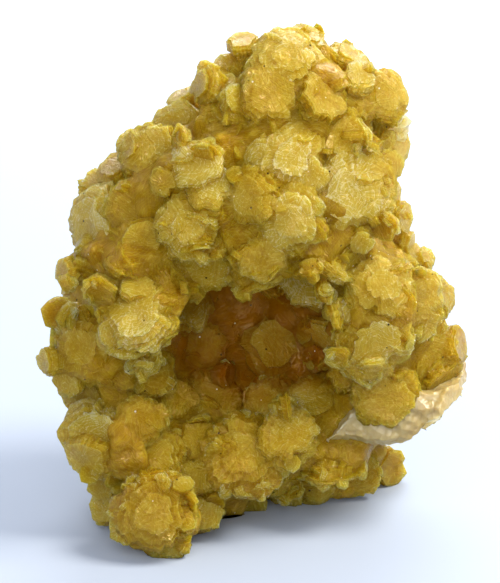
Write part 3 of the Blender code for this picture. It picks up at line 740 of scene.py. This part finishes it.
for seat, normal in picked_faces(mass, SOWN_BOOKS.tries):
    radius = chance.uniform(*SOWN_BOOKS.radius)
    axis, _ = leaning(normal, math.radians(chance.uniform(0, SOWN_LEAN)), chance.uniform(0, 7))
    out = chance.uniform(*SOWN_BOOKS.out)
    face = seat + axis * out
    habit = chance.choice(["disc", "plate", "fan", "dome", "disc"])
    tone = chance.uniform(0.35, 0.75)
    if may_grow_at(face, radius, SOWN_BOOKS.spacing):
        grow(books, face, axis, radius, SOWN_DEPTH, out, habit, tone, SOWN_SIDE_BOOKS)
        crowd.add(face, radius)
fuse(mass, books)
for sowing in SOWN_PACKETS:
    packets = []
    for seat, normal in picked_faces(mass, sowing.tries):
        radius = chance.uniform(*sowing.radius)
        tone = chance.uniform(0.35, 0.7)
        spacing = sowing.spacing * (1 if seat.y < REAR_FROM else REAR_SPACING)
        if may_grow_at(seat, radius, spacing):
            shows = chance.uniform(*sowing.out)
            stand_packet(packets, seat, normal, radius, shows, tone)
            crowd.add(seat, 0.6 * radius)
    fuse(mass, packets)


def triangles_in(piece):
    return len(piece.data.loops) - 2 * len(piece.data.polygons)


# A join leaves spare points along its edges, where only two edges meet.  They are dissolved,
# so that the mass stays closed when it is thinned.
only(mass)
bpy.ops.object.mode_set(mode="EDIT")
bpy.ops.mesh.select_all(action="DESELECT")
for point in bmesh.from_edit_mesh(mass.data).verts:
    point.select = len(point.link_edges) == 2
bpy.ops.mesh.dissolve_verts()
bpy.ops.mesh.select_all(action="SELECT")
bpy.ops.mesh.delete_loose()
bpy.ops.object.mode_set(mode="OBJECT")

# The rear is thinned first, so that most of the triangles stay on the display side.
rear = mass.vertex_groups.new(name="rear")
behind = [vertex.index for vertex in mass.data.vertices if vertex.co.y > REAR_FROM * MM]
rear.add(behind, 1.0, "REPLACE")
whole = triangles_in(mass)
fewer = min(1, 1 - REAR_THINNED * 2 * len(behind) / whole)
finish_step(mass, "DECIMATE", ratio=fewer, vertex_group="rear")
finish_step(mass, "DECIMATE", ratio=min(1, MOST_TRIANGLES / triangles_in(mass)))
# Thinning can squash a chip flat, into two faces back to back.  Both are taken out.
bpy.ops.object.mode_set(mode="EDIT")
thinned = bmesh.from_edit_mesh(mass.data)
alike = {}
for face in thinned.faces:
    alike.setdefault(frozenset(face.verts), []).append(face)
squashed = [face for faces in alike.values() if len(faces) > 1 for face in faces]
bmesh.ops.delete(thinned, geom=squashed, context="FACES")
bpy.ops.mesh.select_all(action="SELECT")
bpy.ops.mesh.delete_loose()
bpy.ops.object.mode_set(mode="OBJECT")

# Material: lepidolite, a lithium mica.  Light goes deep into it and comes out amber.
# Painted shade: the recesses between the books are painted darker amber and a plate that
# stands out of the mass is painted paler.  Painted highlight: each plate's edge is
# painted as a thin pale line.  Painted shade: the inside of the hollow is painted brown.


def colour(code):
    """An sRGB hex value as a linear colour."""
    parts = [int(code[i : i + 2], 16) / 255 for i in (0, 2, 4)]
    return [p / 12.92 if p <= 0.04045 else ((p + 0.055) / 1.055) ** 2.4 for p in parts] + [1]


def add_node(tree, kind, links=None, **settings):
    """Adds one shader node, sets its values, and links its inputs from other sockets."""
    node = tree.nodes.new("ShaderNode" + kind)
    for name, value in settings.items():
        setattr(node, name, value)
    for socket, value in (links or {}).items():
        if isinstance(value, bpy.types.NodeSocket):
            tree.links.new(value, node.inputs[socket])
        else:
            node.inputs[socket].default_value = value
    return node


def new_material(name):
    """A new material, its nodes and its shader."""
    made = bpy.data.materials.new(name)
    made.use_nodes = True
    return made, made.node_tree, made.node_tree.nodes["Principled BSDF"]


mica, tree, shader = new_material("lepidolite_mica")
spot = add_node(tree, "Attribute", attribute_name="spot").outputs["Vector"]
look = add_node(tree, "Attribute", attribute_name="look").outputs["Vector"]
rim, tone, lift = add_node(tree, "SeparateXYZ", {0: look}).outputs
place = add_node(tree, "TexCoord").outputs["Object"]
patches = add_node(
    tree, "TexNoise", {"Vector": place, "Scale": 190, "Detail": 4, "Roughness": 0.6}
).outputs["Fac"]

# Grains: every 3 mm or so the cleavage turns another way, so each grain has its own
# direction and its own fine plates across it, about half a millimetre thick.
GRAINS_PER_METRE = 330
GRAIN_BEND = 0.0012
bend = add_node(
    tree, "TexNoise", {"Vector": place, "Scale": 350, "Detail": 3, "Roughness": 0.6}
).outputs["Color"]
bend = add_node(
    tree, "VectorMath", {0: bend, 1: (0.5, 0.5, 0.5)}, operation="SUBTRACT"
).outputs[0]
bent = add_node(
    tree, "VectorMath", {0: bend, 1: [GRAIN_BEND] * 3, 2: place}, operation="MULTIPLY_ADD"
).outputs[0]
grain = add_node(tree, "TexVoronoi", {"Vector": bent, "Scale": GRAINS_PER_METRE})
within = add_node(
    tree, "VectorMath", {0: bent, 1: grain.outputs["Position"]}, operation="SUBTRACT"
).outputs[0]
within = add_node(tree, "VectorMath", {0: within, "Scale": 1000}, operation="SCALE").outputs[0]
across = add_node(
    tree, "VectorMath", {0: grain.outputs["Color"], 1: (0.5, 0.5, 0.5)}, operation="SUBTRACT"
).outputs[0]
across = add_node(tree, "VectorMath", {0: across}, operation="NORMALIZE").outputs[0]
level = add_node(
    tree, "VectorMath", {0: within, 1: across}, operation="DOT_PRODUCT"
).outputs["Value"]
grain_tone = add_node(tree, "SeparateColor", {0: grain.outputs["Color"]}).outputs
lines = add_node(
    tree, "TexNoise",
    {
        "W": add_node(
            tree, "Math", {0: grain_tone[0], 1: 37.0, 2: level}, operation="MULTIPLY_ADD"
        ).outputs[0],
        "Scale": 4.4, "Detail": 2, "Roughness": 0.6,
    },
    noise_dimensions="1D",
).outputs["Fac"]
fine = add_node(tree, "Math", {0: lines, 1: 3.0}, operation="MULTIPLY").outputs[0]
fine = add_node(tree, "Math", {0: level, 1: 1.7, 2: fine}, operation="MULTIPLY_ADD").outputs[0]
fine_step = add_node(tree, "Math", {0: fine}, operation="FRACT").outputs[0]

# The book's own plates: each ends in a wandering step, about 0.6 mm from the next.
height = add_node(tree, "SeparateXYZ", {0: spot}).outputs[2]
flat = add_node(tree, "VectorMath", {0: spot, 1: (1, 1, 0)}, operation="MULTIPLY").outputs[0]
reach = add_node(tree, "VectorMath", {0: flat}, operation="LENGTH").outputs["Value"]
drift = add_node(
    tree, "TexNoise", {"Vector": spot, "Scale": 0.3, "Detail": 3, "Roughness": 0.5}
).outputs["Fac"]
plates = add_node(tree, "Math", {0: height, 1: 1.6}, operation="MULTIPLY").outputs[0]
for share, weight in ((reach, 1.5), (drift, 7.0)):
    plates = add_node(
        tree, "Math", {0: share, 1: weight, 2: plates}, operation="MULTIPLY_ADD"
    ).outputs[0]
plate_step = add_node(tree, "Math", {0: plates}, operation="FRACT").outputs[0]

# Rays: the plates also fan out from the middle of the book, forty or so to the turn.
RAY_SPREAD = 9
spokes = add_node(tree, "VectorMath", {0: flat}, operation="NORMALIZE").outputs[0]
along = add_node(tree, "Math", {0: height, 1: 0.6}, operation="MULTIPLY").outputs[0]
along = add_node(tree, "Math", {0: reach, 1: 0.3, 2: along}, operation="MULTIPLY_ADD").outputs[0]
along = add_node(tree, "CombineXYZ", {2: along}).outputs[0]
spokes = add_node(
    tree, "VectorMath", {0: spokes, 1: [RAY_SPREAD] * 3, 2: along}, operation="MULTIPLY_ADD"
).outputs[0]
rays = add_node(
    tree, "TexNoise", {"Vector": spokes, "Scale": 1.0, "Detail": 2, "Roughness": 0.6}
).outputs["Fac"]

# Thin pale lines along the striations, the plate steps and the rays: the lines follow the mica's
# own structure, and painting them pale is a painted highlight where plate edges catch light.
edges = [
    add_node(
        tree, "MapRange", {"Value": value, "From Min": low, "From Max": high},
        interpolation_type="SMOOTHSTEP",
    ).outputs[0]
    for value, low, high in (
        (lines, 0.42, 0.58), (plate_step, 0.7, 1.0), (fine_step, 0.7, 1.0), (rays, 0.5, 0.6),
    )
]

# How pale each place is, from 0, deep amber, to 1, straw: what makes it so, and how much.
# The tone, the patches and the grains' tones are the mica's own colour; the lift out of the
# mass is painted shade, darker in the recesses; the rim and the pale edge lines are
# painted highlights where plate edges catch light.
pale = -0.179
for share, weight in (
    (tone, 0.26), (lift, 0.3), (rim, 0.2), (patches, 0.3), (grain_tone[1], 0.12),
    (edges[0], 0.12), (edges[1], 0.22), (edges[2], 0.1), (edges[3], 0.14),
):
    pale = add_node(
        tree, "Math", {0: share, 1: weight, 2: pale}, operation="MULTIPLY_ADD"
    ).outputs[0]
ramp = add_node(tree, "ValToRGB", {"Fac": pale})
band = ramp.color_ramp
band.elements[0].position, band.elements[0].color = 0.0, colour("8c6404")
band.elements[1].position, band.elements[1].color = 1.0, colour("dccf94")
for where, code in ((0.25, "a27d0c"), (0.5, "b2941e"), (0.75, "c0aa3e")):
    band.elements.new(where).color = colour(code)
tint = ramp.outputs[0]

# Painted shade: the hollow is painted brown, and what stands out of its walls is spared.
HOLLOW_SHADE_CENTRE, HOLLOW_SHADE_RADII = (0.0, 0.003, 0.031), (0.019, 0.0135, 0.0145)
deep = add_node(
    tree, "VectorMath", {0: place, 1: HOLLOW_SHADE_CENTRE}, operation="SUBTRACT"
).outputs[0]
deep = add_node(tree, "VectorMath", {0: deep, 1: HOLLOW_SHADE_RADII}, operation="DIVIDE").outputs[0]
deep = add_node(tree, "VectorMath", {0: deep}, operation="LENGTH").outputs["Value"]
deep = add_node(
    tree, "MapRange", {"Value": deep, "From Min": 1.15, "From Max": 0.6},
    interpolation_type="SMOOTHSTEP",
).outputs[0]
sunk = add_node(tree, "Math", {0: lift, 1: -0.7, 2: 0.95}, operation="MULTIPLY_ADD").outputs[0]
painted_hollow_shade = add_node(tree, "Math", {0: deep, 1: sunk}, operation="MULTIPLY").outputs[0]
tint = add_node(
    tree, "Mix", {"Factor": painted_hollow_shade, 6: tint, 7: colour("8a4c00")}, data_type="RGBA"
).outputs[2]

# A scatter of dark specks of oxide, and here and there a painted glint: a small pale fleck painted
# into the colour as a highlight.
for per_metre, outer, inner, rarer_than, code in (
    (420, 0.1, 0.05, 0.7, "2a1602"), (700, 0.13, 0.07, 0.93, "fff4d0"),
):
    dots = add_node(tree, "TexVoronoi", {"Vector": place, "Scale": per_metre})
    dot = add_node(
        tree, "MapRange",
        {"Value": dots.outputs["Distance"], "From Min": outer, "From Max": inner},
        interpolation_type="SMOOTHSTEP",
    ).outputs[0]
    chosen = add_node(tree, "SeparateColor", {0: dots.outputs["Color"]}).outputs[0]
    chosen = add_node(
        tree, "Math", {0: chosen, 1: rarer_than}, operation="GREATER_THAN"
    ).outputs[0]
    dot = add_node(tree, "Math", {0: dot, 1: chosen}, operation="MULTIPLY").outputs[0]
    tint = add_node(
        tree, "Mix", {"Factor": dot, 6: tint, 7: colour(code)}, data_type="RGBA"
    ).outputs[2]

# Relief in millimetres: each grain leans its own way, and each plate ends in a step.
relief = 0.0
for share, weight in ((level, 0.14), (fine_step, 0.13), (plate_step, 0.2), (rays, 0.3)):
    relief = add_node(
        tree, "Math", {0: share, 1: weight, 2: relief}, operation="MULTIPLY_ADD"
    ).outputs[0]
bump = add_node(tree, "Bump", {"Height": relief, "Strength": 1.0, "Distance": MM})
tree.links.new(tint, shader.inputs["Base Color"])
tree.links.new(bump.outputs[0], shader.inputs["Normal"])
tree.links.new(bump.outputs[0], shader.inputs["Coat Normal"])
for socket, value in {
    "Subsurface Weight": 1, "Subsurface Radius": (7.5, 5.8, 2.2), "Subsurface Scale": MM,
    "Roughness": 0.2, "IOR": 1.57, "Specular IOR Level": 0.35,
    "Specular Tint": colour("f0c060"), "Transmission Weight": 0.42,
    "Coat Weight": 0.2, "Coat Roughness": 0.08,
}.items():
    shader.inputs[socket].default_value = value

# Nothing reaches below the floor that the specimen stands on.
places = np.empty(len(mass.data.vertices) * 3, np.float32)
mass.data.vertices.foreach_get("co", places)
places[2::3] = np.maximum(places[2::3], 0)
mass.data.vertices.foreach_set("co", places)
mass.data.materials.clear()
mass.data.materials.append(mica)
mass.data.transform(STAND)
only(mass)
bpy.ops.object.shade_smooth_by_angle(angle=math.radians(14))
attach(mass, "root")
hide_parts("lepidolite_crystals")

# ---------------------------------------------------------------------------------
# The matrix: a broken slab of sugary white albite, with mica grown over its upper side
# and under it.  It is a block snapped flat on seven sides, its grains standing proud.

SLAB_CENTRE = (23, 4.5, 18)
SLAB_SIZE = (26, 25, 8)
SLAB_TIPS = (math.radians(-6), math.radians(-12), math.radians(-4))
SLAB_BREAKS = [
    ((-12.6, 0, -1.4), (-0.66, -0.1, 0.75)),
    ((4.7, 0, -2.6), (0.42, 0.0, -0.9)),
    ((11, -10, 0), (0.8, -0.6, 0.1)),
    ((11.5, 9, 2), (0.8, 0.6, 0.3)),
    ((-11, 10, -1), (-0.6, 0.8, -0.1)),
    ((0, -12, 3.2), (0.1, -0.75, 0.65)),
    ((-2, -12, -2.5), (-0.15, -0.7, -0.7)),
]
LUMP_WIDTH, LUMP_DEPTH = 6.0, 1.4
GRAIN_WIDTH, GRAIN_DEPTH = 1.1, 0.5

bpy.ops.object.select_all(action="DESELECT")
bpy.ops.mesh.primitive_cube_add(size=1)
slab = bpy.context.object
slab.name = "albite_slab"
bpy.ops.object.mode_set(mode="EDIT")
bpy.ops.mesh.select_all(action="SELECT")
bpy.ops.transform.resize(value=SLAB_SIZE, center_override=(0, 0, 0))
for point, normal in SLAB_BREAKS:
    bpy.ops.mesh.select_all(action="SELECT")
    bpy.ops.mesh.bisect(plane_co=point, plane_no=normal, use_fill=True, clear_outer=True)
bpy.ops.mesh.select_all(action="SELECT")
bpy.ops.mesh.normals_make_consistent(inside=False)
bpy.ops.object.mode_set(mode="OBJECT")
turn = Matrix.Rotation(SLAB_TIPS[2], 4, "Z") @ Matrix.Rotation(SLAB_TIPS[1], 4, "Y")
turn = turn @ Matrix.Rotation(SLAB_TIPS[0], 4, "X")
slab.data.transform(
    Matrix.Translation(Vector(SLAB_CENTRE) * MM) @ turn @ Matrix.Scale(MM, 4)
)
finish_step(slab, "REMESH", mode="VOXEL", voxel_size=0.5 * MM)
finish_step(
    slab, "DISPLACE", texture=cells("slab_lumps", LUMP_WIDTH),
    strength=-LUMP_DEPTH * MM, mid_level=0.3,
)
finish_step(
    slab, "DISPLACE", texture=cells("slab_grains", GRAIN_WIDTH),
    strength=-GRAIN_DEPTH * MM, mid_level=0.3,
)

# Material: albite, a white feldspar, here in sugary grains about a millimetre across,
# each with its own small crown, stained cream to tan by iron.
albite, tree, shader = new_material("sugary_albite")
place = add_node(tree, "TexCoord").outputs["Object"]
grains = add_node(tree, "TexVoronoi", {"Vector": place, "Scale": 900})
stains = add_node(
    tree, "TexNoise", {"Vector": place, "Scale": 160, "Detail": 5, "Roughness": 0.65}
).outputs["Fac"]
ramp = add_node(tree, "ValToRGB", {"Fac": stains})
band = ramp.color_ramp
band.elements[0].position, band.elements[0].color = 0.3, colour("8a7440")
band.elements[1].position, band.elements[1].color = 0.7, colour("a4946a")
band.elements.new(0.5).color = colour("988654")
bump = add_node(
    tree, "Bump", {"Height": grains.outputs["Distance"], "Strength": 0.6, "Distance": 0.5 * MM}
)
tree.links.new(ramp.outputs[0], shader.inputs["Base Color"])
tree.links.new(bump.outputs[0], shader.inputs["Normal"])
shader.inputs["Subsurface Weight"].default_value = 0.85
shader.inputs["Subsurface Radius"].default_value = (4.0, 3.2, 2.0)
shader.inputs["Subsurface Scale"].default_value = MM
shader.inputs["Roughness"].default_value = 0.35

slab.data.materials.clear()
slab.data.materials.append(albite)
slab.data.transform(STAND)
only(slab)
bpy.ops.object.shade_smooth_by_angle(angle=math.radians(24))
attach(slab, "root")
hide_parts("albite_matrix")

# ---------------------------------------------------------------------------------
# Floor, lights and camera: a pale paper floor, a small warm lamp high on the right, a broad
# soft one low in front, and one that brightens the paper behind.  A long lens looks down
# at the specimen by 20 degrees.

bpy.ops.object.select_all(action="DESELECT")
bpy.ops.mesh.primitive_plane_add(size=4)
floor = bpy.context.object
floor.name = "studio_floor"
paper, tree, shader = new_material("white_paper")
shader.inputs["Base Color"].default_value = colour("949eae")
shader.inputs["Roughness"].default_value = 0.9
floor.data.materials.append(paper)

world = bpy.data.worlds.new("studio")
bpy.context.scene.world = world
world.use_nodes = True
back = world.node_tree.nodes["Background"]
back.inputs["Color"].default_value = colour("f4f5fc")
back.inputs["Strength"].default_value = 1.0


def soft_light(name, place, aim, size, power, code):
    light = bpy.data.lights.new(name, "AREA")
    light.size = size
    light.energy = power
    light.color = colour(code)[:3]
    made = bpy.data.objects.new(name, light)
    made.location = place
    made.rotation_euler = (Vector(aim) - Vector(place)).to_track_quat("-Z", "Y").to_euler()
    bpy.context.scene.collection.objects.link(made)


soft_light("key", (0.26, -0.06, 0.36), (0, 0, 0.045), 0.16, 3.3, "fff8ec")
soft_light("front", (-0.06, -0.48, 0.32), (0, 0, 0.04), 0.4, 2.4, "ffffff")
soft_light("backdrop", (0.08, 0.46, 0.32), (0.08, 0.43, 0.0), 0.4, 4.4, "ffffff")

SENSOR, FIELD = 36, 93.3
camera = bpy.data.objects.new("camera", bpy.data.cameras.new("camera"))
bpy.context.scene.collection.objects.link(camera)
camera.location = STAND @ ((SIGHT_CENTRE + TOWARDS * SIGHT_DISTANCE) * MM)
camera.rotation_euler = (math.pi / 2 - SIGHT_TILT, 0, 0)
camera.data.lens = SENSOR * SIGHT_DISTANCE / FIELD
camera.data.clip_start = 0.01
bpy.context.scene.camera = camera
bpy.context.scene.view_settings.view_transform = "Standard"
